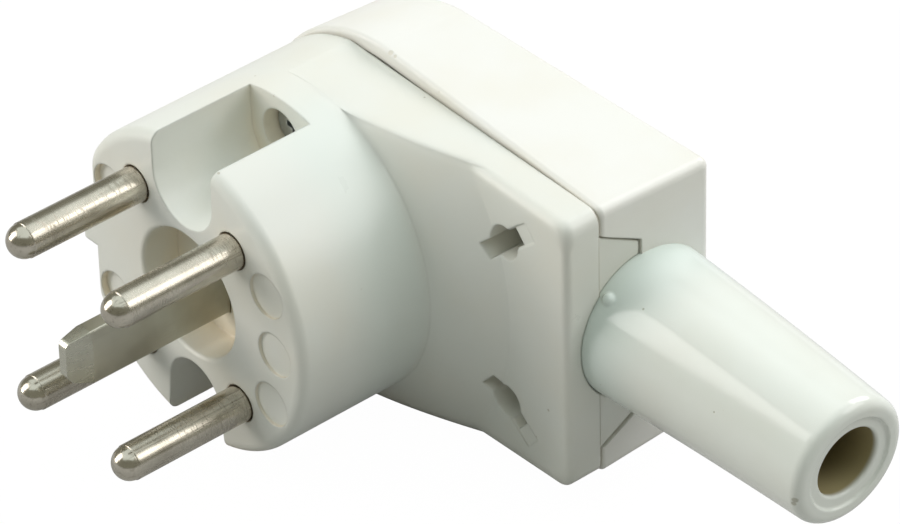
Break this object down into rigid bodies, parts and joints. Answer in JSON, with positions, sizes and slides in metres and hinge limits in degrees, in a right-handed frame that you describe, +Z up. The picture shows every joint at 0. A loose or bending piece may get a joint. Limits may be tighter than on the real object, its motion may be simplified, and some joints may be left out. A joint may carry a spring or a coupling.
{
  "type": "right-angle multiphase appliance plug",
  "caption": "Right-angle power plug with round contacts around a flat earth blade, a keyed round nose, a two-part case and a tapered cord sleeve.",
  "frame": {"origin": "centre of the contact face, midway between the four round contacts", "axes": "+X out along the contacts, +Y towards the cord sleeve, +Z up as the plug lies on its side, on the side of the wide keyway"},
  "size_m": [0.0716, 0.1049, 0.049],
  "materials": {
    "housing_thermoset": "smooth moulded ivory white",
    "cover_thermoset": "smooth moulded ivory white",
    "sleeve_rubber": "smooth glossy flexible white",
    "nickel_pin": "turned, nickel plated",
    "nickel_blade": "satin, nickel plated",
    "zinc_screw": "zinc plated",
    "inner_insulation": "matt brown insulating board"
  },
  "bodies": {
    "root": {"front_housing": "housing_thermoset", "rear_cover": "cover_thermoset", "cord_sleeve": "sleeve_rubber", "earth_blade": "nickel_blade", "contact_retainer": "inner_insulation", "cord_clamp": "inner_insulation", "line_pin_1": "nickel_pin", "line_pin_2": "nickel_pin", "line_pin_3": "nickel_pin", "neutral_pin": "nickel_pin", "line_pin_1_screw": "zinc_screw", "line_pin_2_screw": "zinc_screw", "line_pin_3_screw": "zinc_screw", "neutral_pin_screw": "zinc_screw", "earth_screw": "zinc_screw", "retainer_screw_1": "zinc_screw", "retainer_screw_2": "zinc_screw", "clamp_screw_1": "zinc_screw", "clamp_screw_2": "zinc_screw", "keyway_screw_1": "zinc_screw", "keyway_screw_2": "zinc_screw", "pocket_screw_1": "zinc_screw", "pocket_screw_2": "zinc_screw"}
  },
  "joints": []
}
